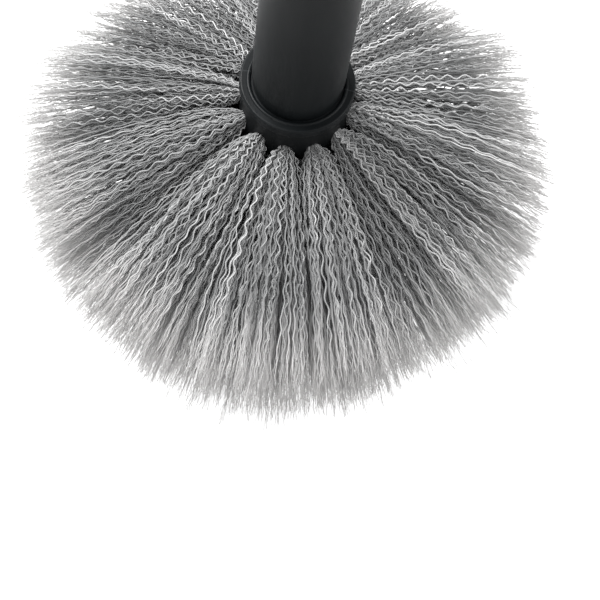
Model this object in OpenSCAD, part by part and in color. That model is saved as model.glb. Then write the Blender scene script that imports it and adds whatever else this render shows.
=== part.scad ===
// Cobweb brush head: crimped tufts stapled into a drilled core, on a moulded socket that takes a pole.
// The origin is the middle of the face that the pole's end stops on, level with the top of the collar.
// +Z points along the pole, out of the socket. Sizes are in millimetres, and angles in degrees.

/* [Bristle head] */
// Diameter of the ball that the tufts are trimmed to
head_d = 190; // [184:1:200]
// How far the middle of that ball lies below the top of the collar
head_drop = 60; // [56:1:64]
// How far the tips of the top row lie above the middle of the ball, as an angle
top_tip_angle = 6; // [2:1:10]
// Clear space between the tips of two neighbouring tufts
tip_gap = 1.2; // [0.8:0.1:3]

/* [Tuft holes] */
// Tufts in a full row
row_tufts = 12; // [10:2:12]
// Diameter of a tuft's hole
hole_d = 5.4; // [4.8:0.1:5.6]
// Depth of a hole along its axis
hole_depth = 7.5; // [6.5:0.1:8]
// Space between a hole's wall and what is in it
tuft_fit = 0.1; // [0.05:0.05:0.2]
// How far a tuft stands straight out of its hole before it bends down
bend_out = 3; // [3:0.5:5]
// From the top of the core to the first row of holes
first_row = 11; // [9:0.5:11.5]
// From one row of holes to the next along the straight part of the core
row_pitch = 8.5; // [7.8:0.1:8.7]

/* [Staples] */
// Thickness of the flat wire that the staples are bent from
wire_t = 0.8; // [0.6:0.1:1]
// Height of a staple, from the tips of its legs to its back
staple_h = 2; // [1.6:0.1:2.6]

/* [Core] */
// Largest diameter of the core, and that of its domed end
core_d = 40; // [38:0.5:44]
// Diameter of the core where the collar sits on it
neck_d = 36.4; // [34:0.2:37]
// Length of the core with its domed end
core_len = 58; // [58:0.5:64]

/* [Socket] */
// Diameter of the pole that the socket takes
pole_d = 25; // [22:0.5:27]
// Space all round the pole
pole_fit = 0.25; // [0.1:0.05:0.5]
// Outer diameter of the socket's tube
tube_d = 32; // [30.5:0.1:32.4]
// Length of the tube above the collar
socket_len = 80; // [60:1:110]
// Height of the narrower ring at the foot of the tube
foot_h = 6.5; // [4:0.5:12]
// How far that ring is set back from the tube
foot_step = 0.6; // [0.3:0.1:0.9]
// Chamfer that leads the pole into the mouth
mouth_chamfer = 1.5; // [0.5:0.1:2]
// Rounding of the mouth's outer edge
mouth_round = 0.8; // [0.3:0.1:1]

/* [Collar] */
// Diameter of the collar
collar_d = 40; // [39.4:0.2:44]
// Thickness of the collar
collar_t = 4; // [3:0.5:5]
// Rounding of the collar's edges
collar_round = 0.8; // [0.4:0.1:1.2]
// Width of the raised lip round the foot of the tube
lip_w = 1.8; // [1.2:0.1:2]
// How far the lip stands above the collar
lip_h = 0.4; // [0.2:0.1:0.6]

/* [Spigot] */
// Diameter of the spigot that holds the socket in the core
spigot_d = 16; // [12:0.5:17]
// Length of the spigot below the collar
spigot_len = 32; // [24:1:34]
// Diameter of the blind hole that keeps the spigot's wall even
spigot_bore_d = 10; // [6:0.5:11]
// Thickness of the floor between the pole's end and that blind hole
floor_t = 5; // [3:0.5:8]
// Width of the keys that stop the spigot from turning
key_w = 2.4; // [1.6:0.2:3]
// How far the keys stand out of the spigot
key_h = 1; // [0.6:0.1:1.2]
// Space round the spigot and its keys
spigot_fit = 0.05; // [0.03:0.01:0.1]

/* [Hidden] */
$fn = 96;
// Sides that keep the core's very large side circle smooth
barrel_sides = 1440;
slack = 0.1;
keys = 4;
straight_rows = 4;
dome_rows = 3;
rows = straight_rows + dome_rows;
last_row = rows - 1;
plastic = [0.16, 0.18, 0.19];
core_plastic = [0.1, 0.11, 0.12];
filament = [0.72, 0.73, 0.73];
steel = [0.7, 0.7, 0.7];

head_r = head_d / 2;
hole_r = hole_d / 2;
core_r = core_d / 2;
tube_r = tube_d / 2;
collar_r = collar_d / 2;
spigot_r = spigot_d / 2;
pole_bore_r = pole_d / 2 + pole_fit;
foot_r = tube_r - foot_step;

core_top = -collar_t;
dome_z = core_top - core_len + core_r;
barrel_h = core_top - dome_z;
waist = (core_d - neck_d) / 2;
barrel_r = (barrel_h * barrel_h + waist * waist) / (2 * waist);

tuft_r = hole_r - tuft_fit;
staple_w = 2 * sqrt(tuft_r * tuft_r - wire_t * wire_t / 4);
shank_in = hole_depth - staple_h - tuft_fit;

// Rows are counted from the collar down, from 0. The last one is a single tuft at the pole of the dome.
function is_straight(row) = row < straight_rows;
function tufts_in(row) = row == last_row ? 1 : row == last_row - 1 ? row_tufts / 2 : row_tufts;
function azimuth(row, i) = i * 360 / tufts_in(row) + (row % 2) * 180 / row_tufts;

// Points of a row are [distance from the axis, height].
function dome_angle(row) = (row - straight_rows + 1) * 90 / dome_rows;
function row_z(row) = core_top - first_row - row * row_pitch;
function barrel_x(z) = core_r - barrel_r + sqrt(barrel_r * barrel_r - pow(z - dome_z, 2));
function root(row) = is_straight(row)
    ? [barrel_x(row_z(row)), row_z(row)]
    : [core_r * cos(dome_angle(row)), dome_z - core_r * sin(dome_angle(row))];
function tip_angle(row) = top_tip_angle - row * (top_tip_angle + 90) / last_row;
function tip(row) = [head_r * cos(tip_angle(row)), head_r * sin(tip_angle(row)) - head_drop];
function slope(from, to) = atan2(to[1] - from[1], to[0] - from[0]);

// A hole is drilled halfway between square to the core and straight at the tuft's tips.
function surface_slope(row) = is_straight(row)
    ? asin((row_z(row) - dome_z) / barrel_r)
    : -dome_angle(row);
function hole_slope(row) = (surface_slope(row) + slope(root(row), tip(row))) / 2;
function bend(row) = root(row) + bend_out * [cos(hole_slope(row)), sin(hole_slope(row))];
function tuft_slope(row) = slope(bend(row), tip(row));
function tuft_len(row) = norm(tip(row) - bend(row));

// A tuft opens until its tips nearly meet those of its nearest neighbour.
function tip_place(row, i) = let (p = tip(row), a = azimuth(row, i)) [p[0] * cos(a), p[0] * sin(a), p[1]];
function to_neighbour(row) = min([
    for (other = [0 : last_row], i = [0 : tufts_in(other) - 1])
        if (other != row || i != 0) norm(tip_place(row, 0) - tip_place(other, i))
]);
function tip_r(row) = (to_neighbour(row) - tip_gap) / 2;

function two_digits(n) = n < 10 ? str("0", n) : str(n);
function tuft_name(row, i) = str("tuft_row_", row + 1, "_", two_digits(i + 1));
function ring_name(row) = str("tufts_row_", row + 1);

tuft_nodes = [for (row = [0 : straight_rows - 1], i = [0 : row_tufts - 1]) tuft_name(row, i)];
ring_nodes = [for (row = [straight_rows : last_row]) ring_name(row)];

// Puts +Z along a slope in the XZ plane, at a point of that plane
module at_slope(point, angle) {
    translate([point[0], 0, point[1]])
        rotate([0, 90 - angle, 0])
            children();
}

// Puts its children in each hole of a row, with Z = 0 at the core's surface and +Z out of the hole
module in_holes(row) {
    for (i = [0 : tufts_in(row) - 1])
        rotate(azimuth(row, i))
            at_slope(root(row), hole_slope(row))
                children();
}

module core_outline() {
    intersection() {
        translate([core_r - barrel_r, dome_z])
            circle(barrel_r, $fn = barrel_sides);
        translate([0, dome_z])
            square([core_r, barrel_h]);
    }
    intersection() {
        translate([0, dome_z])
            circle(core_r);
        translate([0, dome_z - core_r])
            square([core_r, core_r]);
    }
}

// The spigot and its keys, made larger all round by a fit for the hole that takes them
module spigot_form(fit, length) {
    translate([0, 0, core_top - length]) {
        cylinder(r = spigot_r + fit, h = length);
        for (i = [0 : keys - 1])
            rotate(i * 360 / keys + 45)
                translate([0, -key_w / 2 - fit, 0])
                    cube([spigot_r + key_h + fit, key_w + 2 * fit, length]);
    }
}

module core() {
    color(core_plastic)
        difference() {
            rotate_extrude()
                core_outline();
            spigot_form(spigot_fit, spigot_len + slack);
            for (row = [0 : last_row])
                in_holes(row)
                    translate([0, 0, -hole_depth])
                        cylinder(r = hole_r, h = hole_depth + hole_d);
        }
}

// A rectangle with its outer corners rounded, from the axis out
module rounded_disc_outline(radius, height, round) {
    square([radius - round, height]);
    translate([0, round])
        square([radius, height - 2 * round]);
    for (z = [round, height - round])
        translate([radius - round, z])
            circle(round);
}

module tube_outline() {
    square([foot_r, foot_h + slack]);
    translate([0, foot_h])
        square([tube_r, socket_len - foot_h - mouth_round]);
    translate([0, foot_h])
        square([tube_r - mouth_round, socket_len - foot_h]);
    translate([tube_r - mouth_round, socket_len - mouth_round])
        circle(mouth_round);
}

// The collar has a lip round the foot of the tube, with a narrow groove between the two
module collar_outline() {
    difference() {
        translate([0, -collar_t])
            rounded_disc_outline(collar_r, collar_t, collar_round);
        translate([foot_r, lip_h - lip_w / 2])
            square([foot_step + lip_w / 2, lip_w]);
    }
    translate([tube_r + lip_w / 2, lip_h - lip_w / 2])
        circle(lip_w / 2);
}

module pole_bore() {
    cylinder(r = pole_bore_r, h = socket_len + slack);
    translate([0, 0, socket_len - mouth_chamfer])
        cylinder(r1 = pole_bore_r, r2 = pole_bore_r + mouth_chamfer + slack, h = mouth_chamfer + slack);
}

module socket() {
    color(plastic)
        difference() {
            union() {
                rotate_extrude() {
                    tube_outline();
                    collar_outline();
                }
                spigot_form(0, spigot_len);
            }
            pole_bore();
            translate([0, 0, core_top - spigot_len - slack])
                cylinder(d = spigot_bore_d, h = spigot_len + collar_t - floor_t + slack);
        }
}

// A staple holds a tuft by its fold, at the bottom of the hole, with its legs towards the core
module staple() {
    leg_h = staple_h - wire_t;
    translate([0, wire_t / 2, -hole_depth])
        rotate([90, 0, 0])
            linear_extrude(wire_t)
                difference() {
                    translate([-staple_w / 2, 0])
                        square([staple_w, staple_h]);
                    translate([wire_t - staple_w / 2, -slack])
                        square([staple_w - 2 * wire_t, leg_h + slack]);
                }
}

module tuft_staples() {
    color(steel)
        for (row = [0 : last_row])
            in_holes(row)
                staple();
}

// A tuft as one solid: its shank in the hole, a knuckle where it bends, and a cone trimmed by the ball
module tuft(row, i) {
    opening = (tip_r(row) - tuft_r) / tuft_len(row);
    cone_h = tuft_len(row) + tip_r(row);
    color(filament)
        rotate(azimuth(row, i)) {
            at_slope(root(row), hole_slope(row))
                translate([0, 0, -shank_in])
                    cylinder(r = tuft_r, h = shank_in + bend_out);
            translate([bend(row)[0], 0, bend(row)[1]])
                sphere(hole_r);
            intersection() {
                at_slope(bend(row), tuft_slope(row))
                    cylinder(r1 = tuft_r, r2 = tuft_r + opening * cone_h, h = cone_h);
                translate([0, 0, -head_drop])
                    sphere(head_r);
            }
        }
}

socket();
core();
tuft_staples();
for (row = [0 : straight_rows - 1], i = [0 : row_tufts - 1])
    tuft(row, i);
for (row = [straight_rows : last_row])
    for (i = [0 : tufts_in(row) - 1]) tuft(row, i);
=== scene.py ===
import math
import random

import bmesh
import bpy
from mathutils import Matrix, Vector, noise


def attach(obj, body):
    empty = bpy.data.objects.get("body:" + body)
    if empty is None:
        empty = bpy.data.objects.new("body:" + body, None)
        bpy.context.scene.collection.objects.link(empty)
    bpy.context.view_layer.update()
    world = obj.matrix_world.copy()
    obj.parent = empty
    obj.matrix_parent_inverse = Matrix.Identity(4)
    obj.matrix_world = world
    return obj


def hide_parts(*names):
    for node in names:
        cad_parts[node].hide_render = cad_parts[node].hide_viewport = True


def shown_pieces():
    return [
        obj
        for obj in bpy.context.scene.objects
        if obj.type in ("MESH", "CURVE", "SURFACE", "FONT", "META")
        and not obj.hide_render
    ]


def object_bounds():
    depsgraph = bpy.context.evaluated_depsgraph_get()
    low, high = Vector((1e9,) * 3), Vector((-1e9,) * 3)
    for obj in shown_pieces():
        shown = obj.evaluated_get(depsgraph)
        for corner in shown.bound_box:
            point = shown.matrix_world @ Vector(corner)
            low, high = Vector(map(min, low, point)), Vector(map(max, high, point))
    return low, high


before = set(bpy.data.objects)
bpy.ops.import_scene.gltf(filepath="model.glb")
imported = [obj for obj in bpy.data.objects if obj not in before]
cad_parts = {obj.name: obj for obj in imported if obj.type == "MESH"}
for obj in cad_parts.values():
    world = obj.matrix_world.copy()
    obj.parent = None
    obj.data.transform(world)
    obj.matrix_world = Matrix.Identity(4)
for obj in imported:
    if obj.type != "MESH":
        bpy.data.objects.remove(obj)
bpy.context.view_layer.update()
mm = 0.001

# The head: the same values as the CAD part, so that each tuft starts in its own hole
head = {
    "ballRadius": 95 * mm,
    "ballDrop": 60 * mm,
    "topTipAngle": 6,
    "coreRadius": 20 * mm,
    "coreTop": -4 * mm,
    "coreLength": 58 * mm,
    "waist": 1.8 * mm,
    "firstRow": 11 * mm,
    "rowPitch": 8.5 * mm,
    "straightRows": 4,
    "tuftsInRow": 12,
    "tufts": (12, 12, 12, 12, 12, 6, 1),
    "bendOut": 3 * mm,
    "holeRadius": 2.7 * mm,
}


def polar(length, angle):
    return Vector((length * math.cos(angle), 0, length * math.sin(angle)))


def slopeOf(step):
    return math.atan2(step.z, step.x)


def tuftAzimuth(row, number):
    turn = 2 * math.pi / head["tufts"][row]
    halfTurn = math.pi / head["tuftsInRow"]  # every other row sits in the gaps of the row above it
    return number * turn + (row % 2) * halfTurn


# The tuft's root, bend and tip in the plane through the brush's axis, x outwards and z along it
def tuftLine(row, droop=0.0):
    lastRow = len(head["tufts"]) - 1
    domeZ = head["coreTop"] - head["coreLength"] + head["coreRadius"]
    barrelHeight = head["coreTop"] - domeZ
    waist = head["waist"]
    barrelRadius = (barrelHeight ** 2 + waist ** 2) / (2 * waist)
    if row < head["straightRows"]:
        z = head["coreTop"] - head["firstRow"] - row * head["rowPitch"]
        wallSlope = math.asin((z - domeZ) / barrelRadius)
        x = head["coreRadius"] - barrelRadius * (1 - math.cos(wallSlope))
        root = Vector((x, 0, z))
    else:
        domeRow = row - head["straightRows"] + 1
        wallSlope = -math.radians(90 * domeRow / (lastRow - head["straightRows"] + 1))
        root = Vector((0, 0, domeZ)) + polar(head["coreRadius"], wallSlope)
    tipAngle = math.radians(head["topTipAngle"] - row * (90 + head["topTipAngle"]) / lastRow)
    ballCentre = Vector((0, 0, -head["ballDrop"]))
    tip = ballCentre + polar(head["ballRadius"], tipAngle)
    holeSlope = (wallSlope + slopeOf(tip - root)) / 2
    bend = root + polar(head["bendOut"], holeSlope)
    drooped = ballCentre + polar(head["ballRadius"], tipAngle - droop)
    return root, bend, drooped


# Looks: the grain of moulded plastic is one node group, which the socket and the core share
def newGroup(name, inputs, outputs):
    group = bpy.data.node_groups.new(name, "ShaderNodeTree")
    for label, kind, value in inputs:
        socket = group.interface.new_socket(label, in_out="INPUT", socket_type=kind)
        if value is not None:
            socket.default_value = value
    for label, kind in outputs:
        group.interface.new_socket(label, in_out="OUTPUT", socket_type=kind)
    return group


grainLook = {
    "size": 900.0,
    "depth": 0.2,
    "detail": 4,
    "cloudSize": 60,
    "cloudDetail": 3,
    "height": 0.1 * mm,
}


def mouldedGrain():
    inputs = [
        ("Vector", "NodeSocketVector", None),
        ("Grain size", "NodeSocketFloat", grainLook["size"]),
        ("Depth", "NodeSocketFloat", grainLook["depth"]),
    ]
    outputs = [
        ("Grain", "NodeSocketFloat"),
        ("Cloud", "NodeSocketFloat"),
        ("Normal", "NodeSocketVector"),
    ]
    group = newGroup("mouldedGrain", inputs, outputs)
    nodes, links = group.nodes, group.links
    given = nodes.new("NodeGroupInput")
    put = nodes.new("NodeGroupOutput")
    fine = nodes.new("ShaderNodeTexNoise")
    fine.inputs["Detail"].default_value = grainLook["detail"]
    cloud = nodes.new("ShaderNodeTexNoise")
    cloud.inputs["Scale"].default_value = grainLook["cloudSize"]
    cloud.inputs["Detail"].default_value = grainLook["cloudDetail"]
    bump = nodes.new("ShaderNodeBump")
    bump.inputs["Distance"].default_value = grainLook["height"]
    links.new(given.outputs["Vector"], fine.inputs["Vector"])
    links.new(given.outputs["Grain size"], fine.inputs["Scale"])
    links.new(given.outputs["Vector"], cloud.inputs["Vector"])
    links.new(given.outputs["Depth"], bump.inputs["Strength"])
    links.new(fine.outputs["Fac"], bump.inputs["Height"])
    links.new(fine.outputs["Fac"], put.inputs["Grain"])
    links.new(cloud.outputs["Fac"], put.inputs["Cloud"])
    links.new(bump.outputs["Normal"], put.inputs["Normal"])
    return group


def newMaterial(name):
    material = bpy.data.materials.new(name)
    material.use_nodes = True
    return material, material.node_tree.nodes, material.node_tree.links


def ramp(nodes, stops):
    node = nodes.new("ShaderNodeValToRGB")
    node.color_ramp.elements[0].position, node.color_ramp.elements[0].color = stops[0]
    node.color_ramp.elements[1].position, node.color_ramp.elements[1].color = stops[-1]
    for place, colour in stops[1:-1]:
        node.color_ramp.elements.new(place).color = colour
    return node


blueShare = 1.6  # blue takes this many times the tint that green takes
mottle = (0.3, 0.7)  # the noise values at which the dark and the light tone are reached


def grey(value, tint=0.0):
    return (value, value * (1 + tint), value * (1 + blueShare * tint), 1)


socketLook = {
    "dark": grey(0.004, 0.3),
    "light": grey(0.006, 0.3),
    "shine": 0.18,
    "roughness": 0.42,
    "roughnessSpread": 0.06,
    "grainSize": 1500.0,
    "grainDepth": 0.25,
    # the seam values paint a lighter line where the mould's halves met: a painted highlight of its ridge
    "seamWidth": 0.25 * mm,
    "seamHighlightStrength": 0.5,
    "seamHighlightColour": grey(0.06, 0.1),
}

coreLook = {
    "dark": grey(0.005, 0.18),
    "light": grey(0.008, 0.18),
    "shine": 0.2,
    "roughness": 0.5,
    "roughnessSpread": 0.06,
    "grainSize": 1200.0,
    "grainDepth": 0.3,
    # the seam values paint a lighter line where the mould's halves met: a painted highlight of its ridge
    "seamWidth": 0.25 * mm,
    "seamHighlightStrength": 0.3,
    "seamHighlightColour": grey(0.03, 0.1),
}


# The fine line where the halves of the mould met, along the piece's own x axis, painted lighter: a
# painted highlight for the light its small ridge catches
def partingLineHighlight(nodes, links, place, look):
    across = nodes.new("ShaderNodeSeparateXYZ")
    away = nodes.new("ShaderNodeMath")
    away.operation = "ABSOLUTE"
    line = nodes.new("ShaderNodeMapRange")
    line.inputs["From Min"].default_value = look["seamWidth"]
    line.inputs["From Max"].default_value = 0
    line.inputs["To Max"].default_value = look["seamHighlightStrength"]
    links.new(place.outputs["Object"], across.inputs["Vector"])
    links.new(across.outputs["Y"], away.inputs[0])
    links.new(away.outputs["Value"], line.inputs["Value"])
    return line.outputs["Result"]


def plasticMaterial(name, look, grain):
    material, nodes, links = newMaterial(name)
    shader = nodes["Principled BSDF"]
    shader.inputs["Specular IOR Level"].default_value = look["shine"]
    place = nodes.new("ShaderNodeTexCoord")
    effect = nodes.new("ShaderNodeGroup")
    effect.node_tree = grain
    effect.inputs["Grain size"].default_value = look["grainSize"]
    effect.inputs["Depth"].default_value = look["grainDepth"]
    colour = ramp(nodes, [(mottle[0], look["dark"]), (mottle[1], look["light"])])
    rough = nodes.new("ShaderNodeMapRange")
    rough.inputs["To Min"].default_value = look["roughness"] - look["roughnessSpread"]
    rough.inputs["To Max"].default_value = look["roughness"] + look["roughnessSpread"]
    mix = nodes.new("ShaderNodeMix")
    mix.data_type = "RGBA"
    # the seam's lighter colour is a painted highlight of the parting line's ridge, not a colour of the
    # plastic
    mix.inputs["B"].default_value = look["seamHighlightColour"]
    links.new(place.outputs["Object"], effect.inputs["Vector"])
    links.new(effect.outputs["Cloud"], colour.inputs["Fac"])
    links.new(effect.outputs["Cloud"], rough.inputs["Value"])
    links.new(rough.outputs["Result"], shader.inputs["Roughness"])
    links.new(effect.outputs["Normal"], shader.inputs["Normal"])
    links.new(partingLineHighlight(nodes, links, place, look), mix.inputs["Factor"])
    links.new(colour.outputs["Color"], mix.inputs["A"])
    links.new(mix.outputs["Result"], shader.inputs["Base Color"])
    return material


stapleLook = {
    "dark": grey(0.32),
    "light": grey(0.5),
    "roughness": 0.35,
    "roughnessSpread": 0.1,
    "drawScale": (4000, 4000, 300),
}


def stapleMaterial():
    material, nodes, links = newMaterial("stapleWire")
    shader = nodes["Principled BSDF"]
    shader.inputs["Metallic"].default_value = 1
    place = nodes.new("ShaderNodeTexCoord")
    stretch = nodes.new("ShaderNodeMapping")
    stretch.inputs["Scale"].default_value = stapleLook["drawScale"]
    lines = nodes.new("ShaderNodeTexNoise")
    lines.inputs["Scale"].default_value = 1
    colour = ramp(nodes, [(mottle[0], stapleLook["dark"]), (mottle[1], stapleLook["light"])])
    rough = nodes.new("ShaderNodeMapRange")
    rough.inputs["To Min"].default_value = stapleLook["roughness"] - stapleLook["roughnessSpread"]
    rough.inputs["To Max"].default_value = stapleLook["roughness"] + stapleLook["roughnessSpread"]
    links.new(place.outputs["Object"], stretch.inputs["Vector"])
    links.new(stretch.outputs["Vector"], lines.inputs["Vector"])
    links.new(lines.outputs["Fac"], colour.inputs["Fac"])
    links.new(lines.outputs["Fac"], rough.inputs["Value"])
    links.new(colour.outputs["Color"], shader.inputs["Base Color"])
    links.new(rough.outputs["Result"], shader.inputs["Roughness"])
    return material


filamentLook = {
    "dark": grey(0.16, 0.015),
    "middle": grey(0.38, 0.01),
    "middleAt": 0.45,
    "pale": grey(0.66),
    "tip": grey(0.74, -0.014),
    "tipFrom": 0.74,
    "roughness": 0.36,
    "shine": 0.55,
}


# The strand map holds the place along the strand (U) and the strand's own tone (V)
def filamentMaterial():
    material, nodes, links = newMaterial("filament")
    shader = nodes["Principled BSDF"]
    shader.inputs["Specular IOR Level"].default_value = filamentLook["shine"]
    shader.inputs["Roughness"].default_value = filamentLook["roughness"]
    place = nodes.new("ShaderNodeUVMap")
    place.uv_map = "strandMap"
    split = nodes.new("ShaderNodeSeparateXYZ")
    dark = (0, filamentLook["dark"])
    middle = (filamentLook["middleAt"], filamentLook["middle"])
    pale = (1, filamentLook["pale"])
    tone = ramp(nodes, [dark, middle, pale])
    worn = nodes.new("ShaderNodeMapRange")
    worn.inputs["From Min"].default_value = filamentLook["tipFrom"]
    worn.inputs["From Max"].default_value = 1
    mix = nodes.new("ShaderNodeMix")
    mix.data_type = "RGBA"
    mix.inputs["B"].default_value = filamentLook["tip"]
    links.new(place.outputs["UV"], split.inputs["Vector"])
    links.new(split.outputs["Y"], tone.inputs["Fac"])
    links.new(split.outputs["X"], worn.inputs["Value"])
    links.new(worn.outputs["Result"], mix.inputs["Factor"])
    links.new(tone.outputs["Color"], mix.inputs["A"])
    links.new(mix.outputs["Result"], shader.inputs["Base Color"])
    return material


grain = mouldedGrain()
socketPlastic = plasticMaterial("socketPlastic", socketLook, grain)
corePlastic = plasticMaterial("corePlastic", coreLook, grain)
stapleWire = stapleMaterial()
filament = filamentMaterial()
print("materials made")


def dress(node, material):
    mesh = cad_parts[node].data
    mesh.materials.clear()
    mesh.materials.append(material)


dress("socket", socketPlastic)
dress("core", corePlastic)
dress("tuft_staples", stapleWire)

# The filaments: crimped strands in locks and filler strands behind them
# A value for each row runs from the top row to the tuft at the end of the dome
strands = {
    "locks": (11, 11, 8, 8, 5, 5, 5),
    "strandsInLock": (4, 4, 3, 3, 3, 3, 4),
    "fillers": (50, 50, 40, 40, 26, 26, 26),
    "samples": (6, 6, 4, 4, 4, 4, 4),  # points on one wave of the crimp
    "hairs": (6, 6, 2, 2, 2, 2, 2),
    "fillerHairs": (2, 2, 1, 1, 1, 1, 1),
    "radius": 0.32 * mm,
    "endRadius": 0.13 * mm,
    "wave": 6 * mm,
    "waveSpread": 0.03,
    "lockWave": 0.1,  # how far one lock's wave differs from the next
    "crimpWander": 0.6,  # turns by which the crimp slips out of step
    "heightWander": 0.7,  # how far the crimp grows and fades on its way
    "amplitude": 0.62 * mm,  # half the height of the crimp
    "lockHeight": (0.8, 1.15),
    "lockPhase": 0.25,
    "lockSlant": 0.5,  # radians that the plane of the crimp leans
    "strandSlant": 0.3,
    "fillerWave": 6.6 * mm,
    "fillerSamples": 3,
    "fillerAmplitude": 0.4 * mm,
    # the fillers' dark tones are painted shade of the tuft's inside, not darker filament
    "fillerShadeTone": 0.35,  # the fillers keep to the dark end of the tones
    "lockTone": 0.4,  # how much of a strand's tone is its lock's
    "upperRows": 2,  # these rows use fan and fanLift, the others lowerFan
    "fan": 24 * mm,
    "fanLift": 18 * mm,
    "lowerFan": 17 * mm,
    "lockSpread": 0.24,  # share of the tuft's radius
    "parting": 1.6,  # how freely the strands of a lock go their own ways
    "wander": 2.6 * mm,
    "wanderScale": 28,  # bends for each metre of strand
    "wanderFull": 0.4,
    "arch": 6,  # degrees that the tuft rises above a straight line
    "stiffRoot": 0.1,
    "sagFrom": 0.5,
    "swellBy": 0.05,
    "opening": 1.05,  # power: how late the tuft opens
    "crimpFrom": -0.02,
    "crimpFull": 0.04,
    "tipCrimp": 0.5,  # share of the crimp that the flagged end loses
    "flagFrom": 0.8,  # where the ends begin to split, along the strand
    "strayShare": 0.04,
    "strayLength": 0.05,
    "lengthSpread": 0.05,
    "depth": 2 * mm,  # how far the strands go into the hole
    "bulge": 1.2,
    "seed": 7,
    "noiseField": 99,  # side of the box of noise in which each lock has a place
    "corners": 3,  # three, as the strand map tells a cap from a side by it
    "mergeWithin": 0.0001 * mm,
}

# The fine hairs into which the ends of the strands are split
hairs = {
    "radius": 0.09 * mm,
    "thinning": 0.4,
    "steps": 4,
    "early": 0.12,  # some hairs leave the strand this much before flagFrom
    "latest": 0.93,  # share of the strand's points
    "lookBack": 8,  # points back, for the way the strand runs
    "lengths": (0.85, 1.08),
    "extra": 1 * mm,  # how far past the strand's end
    "spread": 2.8 * mm,
    "sideways": 0.5,
    "curl": 1.6,
    "curlScale": 2.6,
}

# The tufts on the far side hang lower, as their filaments have taken a set
lean = {
    "farAzimuth": 114,  # degrees from the x axis
    "farDroop": 12,  # degrees, as for raised, tuftDroop and tuftTurn
    "farFrom": 0.1,
    "farRows": 3,
    "farShort": 0.03,  # share of the ball's radius
    "raised": (0, 5, 5, 3, 0, 0, 0),  # the lower rows are pushed up by those below
    "proud": (0.07, 0.065, 0.06, 0.045, 0.025, 0.02, 0.02),  # strands run this share past the ball
    "tuftDroop": 2.5,
    "tuftTurn": 3.5,
    "tuftLength": 0.05,  # by how much one tuft may be shorter than the next
}

noise.seed_set(strands["seed"])  # without it the noise would differ from run to run
goldenTurn = math.pi * (3 - math.sqrt(5))


# A strand's section, which the curves below carry along with them
def newProfile():
    curve = bpy.data.curves.new("strandProfile", "CURVE")
    curve.dimensions = "2D"
    corners = curve.splines.new("POLY")
    corners.points.add(strands["corners"] - 1)
    for i, point in enumerate(corners.points):
        corner = polar(1, 2 * math.pi * i / strands["corners"])
        point.co = (corner.x, corner.z, 0, 1)
    corners.use_cyclic_u = True
    profile = bpy.data.objects.new("strandProfile", curve)
    bpy.context.scene.collection.objects.link(profile)
    return profile


strandProfile = newProfile()


def newStrandCurve(name):
    curve = bpy.data.curves.new(name, "CURVE")
    curve.dimensions = "3D"
    curve.bevel_mode = "OBJECT"
    curve.bevel_object = strandProfile
    curve.use_fill_caps = True
    curve.twist_mode = "MINIMUM"
    return curve


def addStrand(curve, points, radii):
    spline = curve.splines.new("POLY")
    spline.points.add(len(points) - 1)
    spline.points.foreach_set("co", [c for p in points for c in (p.x, p.y, p.z, 1)])
    spline.points.foreach_set("radius", radii)


def smoothStep(low, high, value):
    share = min(max((value - low) / (high - low), 0), 1)
    return share * share * (3 - 2 * share)


# One tuft: a centre line from the hole to the trimmed ball, with the side and lift directions of its fan
class Tuft:
    def __init__(self, row, number, rng):
        azimuth = tuftAzimuth(row, number)
        away = math.cos(azimuth - math.radians(lean["farAzimuth"]))
        far = smoothStep(lean["farFrom"], 1, away) * (1 - smoothStep(0, lean["farRows"], row))
        droop = lean["farDroop"] * far - lean["raised"][row] + rng.uniform(-1, 1) * lean["tuftDroop"]
        root, bend, tip = tuftLine(row, math.radians(droop))
        turn = Matrix.Rotation(azimuth, 3, "Z")
        tipAzimuth = azimuth + math.radians(rng.uniform(-1, 1) * lean["tuftTurn"])
        tipTurn = Matrix.Rotation(tipAzimuth, 3, "Z")
        self.root = turn @ root
        self.bend = turn @ bend
        self.tip = tipTurn @ tip
        self.side = turn @ Vector((0, 1, 0))
        self.outwards = (self.bend - self.root).normalized()
        self.holeLift = self.outwards.cross(self.side)
        straight = self.tip - self.bend
        self.lift = straight.cross(self.side).normalized()
        self.length = straight.length
        rise = math.tan(math.radians(strands["arch"])) * self.length / 2
        self.leaving = self.root + self.outwards * self.length * strands["stiffRoot"]
        self.arriving = self.tip - straight * strands["sagFrom"] + self.lift * rise
        short = rng.random() * lean["tuftLength"] + far * lean["farShort"]
        self.reach = head["ballRadius"] * (1 + lean["proud"][row] - short)
        upper = row < strands["upperRows"]
        self.fan = strands["fan"] if upper else strands["lowerFan"]
        self.fanLift = strands["fanLift"] if upper else strands["lowerFan"]
        self.phase = rng.random()
        self.wave = strands["wave"] * (1 + rng.uniform(-1, 1) * strands["waveSpread"])

    def centre(self, t):
        before = self.root * (1 - t) ** 3 + self.leaving * 3 * t * (1 - t) ** 2
        return before + self.arriving * 3 * t * t * (1 - t) + self.tip * t ** 3

    def end(self, across, up):
        ballCentre = Vector((0, 0, -head["ballDrop"]))
        aim = self.tip + self.side * across * self.fan + self.lift * up * self.fanLift
        return ballCentre + (aim - ballCentre).normalized() * self.reach


# Spots spread evenly over a disc, as in a sunflower
def discSpot(number, count, turn):
    radius = math.sqrt((number + 0.5) / count)
    angle = number * goldenTurn + turn
    return radius * math.cos(angle), radius * math.sin(angle)


def keptInDisc(across, up):
    outside = max(math.hypot(across, up), 1)
    return across / outside, up / outside


def randomVector(rng, size):
    return Vector((rng.uniform(0, size), rng.uniform(0, size), rng.uniform(0, size)))


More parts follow.
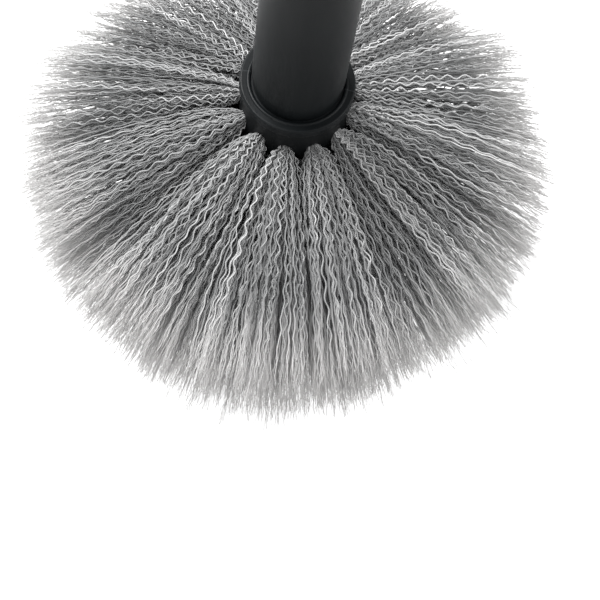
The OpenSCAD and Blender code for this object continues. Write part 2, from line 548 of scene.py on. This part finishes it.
def strandPoints(tuft, spot, lock, rng):
    across, up = spot
    fitted = head["holeRadius"] - strands["radius"]
    inHole = (tuft.side * across + tuft.holeLift * up) * fitted
    atShoulder = (tuft.side * across + tuft.lift * up) * fitted * strands["bulge"]
    pull = tuft.end(across, up) - tuft.tip
    share = 1 - rng.random() * strands["lengthSpread"]
    if rng.random() < strands["strayShare"]:
        share = 1 + strands["strayLength"] * rng.random()
    steps = int(tuft.length * share / lock["step"])
    slant = lock["slant"] + rng.uniform(-strands["strandSlant"], strands["strandSlant"])
    crimpDirection = tuft.side * math.cos(slant) + tuft.lift * math.sin(slant)
    drift = lock["drift"] + randomVector(rng, strands["parting"])
    points = [tuft.root - tuft.outwards * strands["depth"] + inHole]
    radii = [strands["radius"]]
    for i in range(steps + 1):
        t = i / steps * share
        swollen = smoothStep(0, strands["swellBy"], t)
        place = tuft.centre(t) + inHole * (1 - swollen)
        place += atShoulder * swollen * (1 - t)
        place += pull * t ** strands["opening"]
        travel = Vector((t * tuft.length * strands["wanderScale"], 0, 0))
        change = noise.noise_vector(drift + travel)
        swing = change * strands["wander"] * smoothStep(0, strands["wanderFull"], t)
        place += tuft.side * swing.x + tuft.lift * swing.y
        thin = smoothStep(strands["flagFrom"], 1, t)
        height = lock["height"] * smoothStep(strands["crimpFrom"], strands["crimpFull"], t)
        height *= 1 - strands["tipCrimp"] * thin
        height *= 1 + strands["heightWander"] * change.x
        turns = i / lock["samples"] + lock["phase"] + strands["crimpWander"] * change.z
        points.append(place + crimpDirection * height * math.sin(2 * math.pi * turns))
        radii.append(strands["radius"] * (1 - thin) + strands["endRadius"] * thin)
    return points, radii


def hairPoints(tuft, points, rng):
    count = len(points)
    startAt = int(count * rng.uniform(strands["flagFrom"] - hairs["early"], hairs["latest"]))
    start = points[startAt]
    along = (points[-1] - points[max(startAt - hairs["lookBack"], 0)]).normalized()
    side = tuft.side * rng.uniform(-1, 1) + tuft.lift * rng.uniform(-1, 1)
    length = (points[-1] - start).length * rng.uniform(*hairs["lengths"]) + hairs["extra"]
    drift = randomVector(rng, strands["noiseField"])
    made = []
    radii = []
    for i in range(hairs["steps"] + 1):
        t = i / hairs["steps"]
        curl = noise.noise_vector(drift + Vector((t * hairs["curlScale"], 0, 0))) * hairs["spread"]
        aside = side * hairs["spread"] * t * t * hairs["sideways"]
        made.append(start + along * length * t + aside + curl * t * hairs["curl"])
        radii.append(hairs["radius"] * (1 - hairs["thinning"] * t))
    return made, radii, startAt / count


# The mesh made from a curve lists the caps first, then each strand's sides from its root to its tip
def mapStrands(paint, spans):
    layer = paint.loops.layers.uv.active
    sides = [f for f in paint.faces if len(f.verts) == 4]
    caps = [f for f in paint.faces if len(f.verts) == strands["corners"]]
    at = 0
    for segments, begin, end, tone in spans:
        for i in range(segments):
            low = begin + (end - begin) * i / segments
            high = begin + (end - begin) * (i + 1) / segments
            for face in sides[at:at + strands["corners"]]:
                for loop, along in zip(face.loops, (low, high, high, low)):
                    loop[layer].uv = (along, tone)
            at += strands["corners"]
    for face in caps:
        for loop in face.loops:
            loop[layer].uv = (1, 1)


def curveToMesh(curve, name, spans):
    holder = bpy.data.objects.new(name, curve)
    bpy.context.scene.collection.objects.link(holder)
    shaped = holder.evaluated_get(bpy.context.evaluated_depsgraph_get())
    mesh = bpy.data.meshes.new_from_object(shaped)
    mesh.name = name
    bpy.data.objects.remove(holder)
    bpy.data.curves.remove(curve)
    paint = bmesh.new()
    paint.from_mesh(mesh)
    mapStrands(paint, spans)
    bmesh.ops.remove_doubles(paint, verts=paint.verts, dist=strands["mergeWithin"])
    bmesh.ops.recalc_face_normals(paint, faces=paint.faces)
    for face in paint.faces:
        face.smooth = True
    paint.to_mesh(mesh)
    paint.free()
    mesh.uv_layers[0].name = "strandMap"
    mesh.materials.append(filament)
    return mesh


def newLock(tuft, rng, samples, wave, height):
    return {
        "samples": samples,
        "step": wave * (1 + rng.uniform(-1, 1) * strands["lockWave"]) / samples,
        "slant": rng.uniform(-strands["lockSlant"], strands["lockSlant"]),
        "phase": tuft.phase + rng.uniform(0, strands["lockPhase"]),
        "height": height * rng.uniform(*strands["lockHeight"]),
        "drift": randomVector(rng, strands["noiseField"]),
    }


def addFlaggedStrand(curve, spans, tuft, spot, lock, tone, hairCount, rng):
    points, radii = strandPoints(tuft, spot, lock, rng)
    addStrand(curve, points, radii)
    spans.append((len(points) - 1, 0, 1, tone))
    for _ in range(hairCount):
        hair, hairRadii, begin = hairPoints(tuft, points, rng)
        addStrand(curve, hair, hairRadii)
        spans.append((len(hair) - 1, begin, 1, tone))


def addTuft(curve, spans, row, number, rng):
    tuft = Tuft(row, number, rng)
    lockCount = strands["locks"][row]
    lockTurn = rng.uniform(0, 2 * math.pi)
    spread = strands["lockSpread"]
    share = strands["lockTone"]
    for lockNumber in range(lockCount):
        middle = discSpot(lockNumber, lockCount, lockTurn)
        lock = newLock(tuft, rng, strands["samples"][row], tuft.wave, strands["amplitude"])
        lockTone = rng.random()
        for _ in range(strands["strandsInLock"][row]):
            spot = keptInDisc(middle[0] + rng.gauss(0, spread), middle[1] + rng.gauss(0, spread))
            tone = lockTone * share + rng.random() * (1 - share)
            addFlaggedStrand(curve, spans, tuft, spot, lock, tone, strands["hairs"][row], rng)
    fillerCount = strands["fillers"][row]
    samples = strands["fillerSamples"]
    for fillerNumber in range(fillerCount):
        spot = discSpot(fillerNumber, fillerCount, lockTurn)
        lock = newLock(tuft, rng, samples, strands["fillerWave"], strands["fillerAmplitude"])
        # fillers take only the dark end of the tones: painted shade inside the tuft
        tone = rng.random() * strands["fillerShadeTone"]
        addFlaggedStrand(curve, spans, tuft, spot, lock, tone, strands["fillerHairs"][row], rng)


# Each piece draws from a seed of its own, so that a change to one leaves the others alone
def tuftPiece(nodeName, row, numbers):
    rng = random.Random(strands["seed"] * 1000 + row * 100 + numbers[0])
    curve = newStrandCurve(nodeName + "_filaments")
    spans = []
    for number in numbers:
        addTuft(curve, spans, row, number, rng)
    mesh = curveToMesh(curve, nodeName + "_filaments", spans)
    piece = bpy.data.objects.new(nodeName + "_filaments", mesh)
    bpy.context.scene.collection.objects.link(piece)
    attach(piece, "root")
    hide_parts(nodeName)


for row, count in enumerate(head["tufts"]):
    if row < head["straightRows"]:
        for number in range(count):
            tuftPiece(f"tuft_row_{row + 1}_{number + 1:02d}", row, [number])
    else:
        tuftPiece(f"tufts_row_{row + 1}", row, list(range(count)))
    print("tufts of row", row + 1, "made")
bpy.data.objects.remove(strandProfile)
triangles = [sum(len(face.vertices) - 2 for face in piece.data.polygons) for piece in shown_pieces()]
print("triangles shown:", sum(triangles), "and in the largest piece:", max(triangles))

# Floor and light
studio = {
    "floorSize": 6,
    "floorTone": 0.8,
    "floorGlow": 0.74,
    "floorRoughness": 0.9,
    "worldLight": 0.42,
}

lamps = {
    "keyLight": {"size": 0.9, "power": 34.5, "place": (-0.75, 0.45, 1.15)},
    "sideLight": {"size": 0.9, "power": 7, "place": (0.95, 0.15, 0.9)},
    "fillLight": {"size": 0.5, "power": 3, "place": (-0.35, -0.85, 0.95)},
}


# Adds light that only the camera sees, so that the floor looks white and still takes the shadow
def cameraGlow(nodes, links, shader, glow):
    path = nodes.new("ShaderNodeLightPath")
    shine = nodes.new("ShaderNodeEmission")
    shine.inputs["Strength"].default_value = glow
    off = nodes.new("ShaderNodeEmission")
    off.inputs["Strength"].default_value = 0
    choose = nodes.new("ShaderNodeMixShader")
    both = nodes.new("ShaderNodeAddShader")
    out = nodes["Material Output"]
    links.new(path.outputs["Is Camera Ray"], choose.inputs["Fac"])
    links.new(off.outputs["Emission"], choose.inputs[1])
    links.new(shine.outputs["Emission"], choose.inputs[2])
    links.new(shader.outputs["BSDF"], both.inputs[0])
    links.new(choose.outputs["Shader"], both.inputs[1])
    links.new(both.outputs["Shader"], out.inputs["Surface"])


def makeFloor():
    material, nodes, links = newMaterial("floorPaper")
    shader = nodes["Principled BSDF"]
    shader.inputs["Base Color"].default_value = grey(studio["floorTone"])
    shader.inputs["Roughness"].default_value = studio["floorRoughness"]
    cameraGlow(nodes, links, shader, studio["floorGlow"])
    sheet = bmesh.new()
    bmesh.ops.create_grid(sheet, x_segments=1, y_segments=1, size=studio["floorSize"] / 2)
    bmesh.ops.translate(sheet, verts=sheet.verts, vec=(0, 0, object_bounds()[0].z))
    mesh = bpy.data.meshes.new("floor")
    sheet.to_mesh(mesh)
    sheet.free()
    mesh.materials.append(material)
    floor = bpy.data.objects.new("floor", mesh)
    bpy.context.scene.collection.objects.link(floor)


def makeWorld():
    world = bpy.data.worlds.new("studio")
    world.use_nodes = True
    nodes, links = world.node_tree.nodes, world.node_tree.links
    soft = nodes["Background"]
    soft.inputs["Color"].default_value = grey(1)
    soft.inputs["Strength"].default_value = studio["worldLight"]
    white = nodes.new("ShaderNodeBackground")
    white.inputs["Color"].default_value = grey(1)
    path = nodes.new("ShaderNodeLightPath")
    choose = nodes.new("ShaderNodeMixShader")
    links.new(path.outputs["Is Camera Ray"], choose.inputs["Fac"])
    links.new(soft.outputs["Background"], choose.inputs[1])
    links.new(white.outputs["Background"], choose.inputs[2])
    links.new(choose.outputs["Shader"], nodes["World Output"].inputs["Surface"])
    bpy.context.scene.world = world


def makeLamp(name, size, power, place):
    light = bpy.data.lights.new(name, "AREA")
    light.shape = "DISK"
    light.size = size
    light.energy = power
    lamp = bpy.data.objects.new(name, light)
    lamp.location = place
    aim = Vector((0, 0, -head["ballDrop"])) - Vector(place)
    lamp.rotation_euler = aim.to_track_quat("-Z", "Y").to_euler()
    bpy.context.scene.collection.objects.link(lamp)


makeFloor()
makeWorld()
for name, lamp in lamps.items():
    makeLamp(name, lamp["size"], lamp["power"], lamp["place"])
print("floor and lights made")

# The camera: the angles and the distance were fitted to the collar and the roots of the tufts
view = {
    "elevation": 67.79,
    "turn": -1.45,
    "roll": 12.06,
    "distance": 511.87 * mm,
    "focalPixels": 1501,
    "imageSize": 600,
    "originAcross": 297.78,
    "originDown": 80.68,
    "sensor": 36,
    "clipStart": 10 * mm,
}


def makeCamera():
    lens = bpy.data.cameras.new("camera")
    lens.sensor_width = view["sensor"]
    lens.lens = view["focalPixels"] / view["imageSize"] * view["sensor"]
    lens.clip_start = view["clipStart"]
    camera = bpy.data.objects.new("camera", lens)
    tilt = Matrix.Rotation(math.radians(90 - view["elevation"]), 3, "X")
    turn = Matrix.Rotation(math.radians(view["turn"]), 3, "Z")
    roll = Matrix.Rotation(math.radians(view["roll"]), 3, "Z")
    facing = turn @ tilt @ roll
    middle = view["imageSize"] / 2
    across = (view["originAcross"] - middle) / view["focalPixels"] * view["distance"]
    up = -(view["originDown"] - middle) / view["focalPixels"] * view["distance"]
    place = facing @ Vector((-across, -up, view["distance"]))
    camera.matrix_world = Matrix.Translation(place) @ facing.to_4x4()
    bpy.context.scene.collection.objects.link(camera)
    bpy.context.scene.camera = camera


makeCamera()
bpy.context.scene.view_settings.view_transform = "Standard"
print("camera placed")
